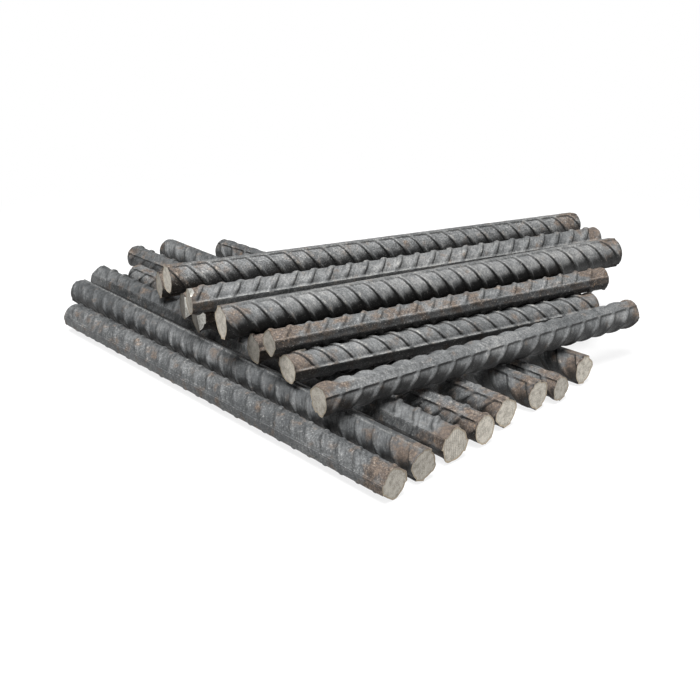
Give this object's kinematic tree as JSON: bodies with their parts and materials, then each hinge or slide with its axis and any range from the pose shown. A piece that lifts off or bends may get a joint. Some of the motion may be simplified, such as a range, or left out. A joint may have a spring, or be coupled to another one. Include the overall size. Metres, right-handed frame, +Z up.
{
  "type": "rebar bundle",
  "caption": "Loose crossed stack of short ribbed steel reinforcing bars, one course lying across another, to be lifted off and used bar by bar.",
  "frame": {"origin": "on the ground, under the middle of the stack's plan extent", "axes": "+Z up; +X to the right and +Y away when the cut ends of the lower bars face the viewer at the right"},
  "size_m": [0.3678, 0.3548, 0.0512],
  "materials": {
    "bar_steel": "blue-grey mill scale with light brown rust, bare grey cut ends"
  },
  "bodies": {
    "root": {"lower_bar_10": "bar_steel", "lower_bar_9": "bar_steel", "lower_bar_8": "bar_steel", "lower_bar_7": "bar_steel", "lower_bar_6": "bar_steel", "lower_bar_5": "bar_steel", "lower_bar_4": "bar_steel", "lower_bar_3": "bar_steel", "lower_bar_2": "bar_steel", "lower_bar_1": "bar_steel", "middle_bar_1": "bar_steel", "middle_bar_2": "bar_steel", "middle_bar_3": "bar_steel", "middle_bar_4": "bar_steel", "middle_bar_5": "bar_steel", "middle_bar_6": "bar_steel", "middle_bar_7": "bar_steel", "middle_bar_8": "bar_steel", "middle_bar_9": "bar_steel", "middle_bar_10": "bar_steel", "top_bar_1": "bar_steel", "top_bar_2": "bar_steel", "top_bar_3": "bar_steel", "top_bar_4": "bar_steel"}
  },
  "joints": []
}
